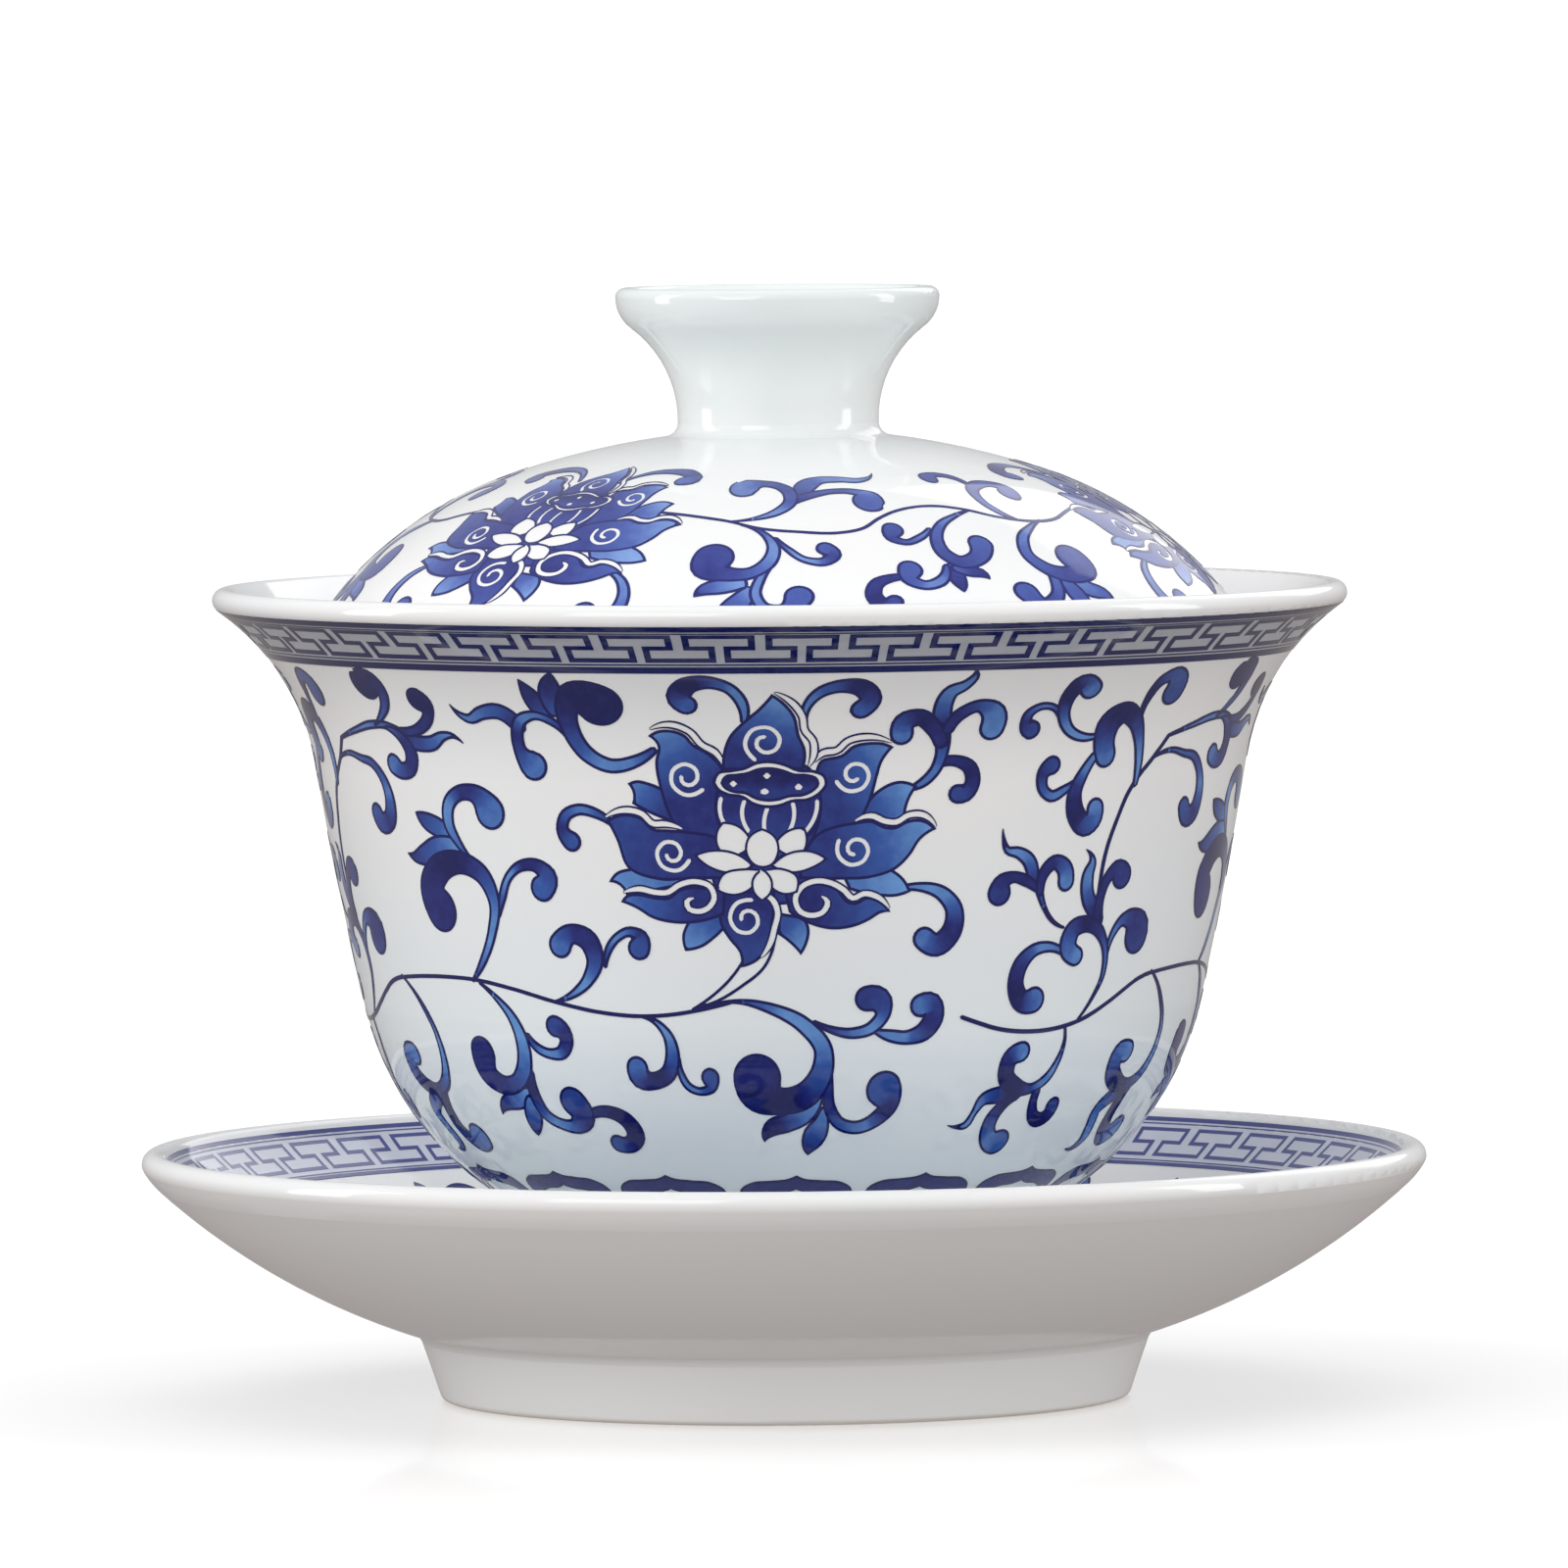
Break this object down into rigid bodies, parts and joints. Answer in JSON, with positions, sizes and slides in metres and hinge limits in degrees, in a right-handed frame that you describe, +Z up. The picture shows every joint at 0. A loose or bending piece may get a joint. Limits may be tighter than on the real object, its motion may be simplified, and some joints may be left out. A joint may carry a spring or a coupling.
{
  "type": "gaiwan",
  "caption": "Covered porcelain tea bowl: a flared bowl on a foot ring, a domed lid with a waisted knob, and a footed saucer, painted with blue lotus scroll.",
  "frame": {"origin": "centre of the saucer's foot ring, in the plane it stands on", "axes": "+Z up, along the common axis of saucer, bowl and lid; -Y is the front, where the bowl's main flower faces"},
  "size_m": [0.1158, 0.1158, 0.1001],
  "materials": {
    "saucer_porcelain": "glossy clear glaze on white porcelain, unglazed foot edge",
    "bowl_porcelain": "glossy clear glaze on white porcelain, faintly blue where it pools, unglazed foot edge",
    "lid_porcelain": "glossy clear glaze on white porcelain",
    "underglaze_blue": "cobalt blue painting under the same glossy glaze"
  },
  "bodies": {
    "saucer": {"saucer": "saucer_porcelain"},
    "bowl": {"bowl": "bowl_porcelain"},
    "lid": {"lid": "lid_porcelain"}
  },
  "joints": [
    {"name": "bowl_lift", "type": "slide", "parent": "saucer", "child": "bowl", "axis": [0, 0, 1], "range_m": [0, 0.05]},
    {"name": "lid_lift", "type": "slide", "parent": "bowl", "child": "lid", "axis": [0, 0, 1], "range_m": [0, 0.05]}
  ]
}
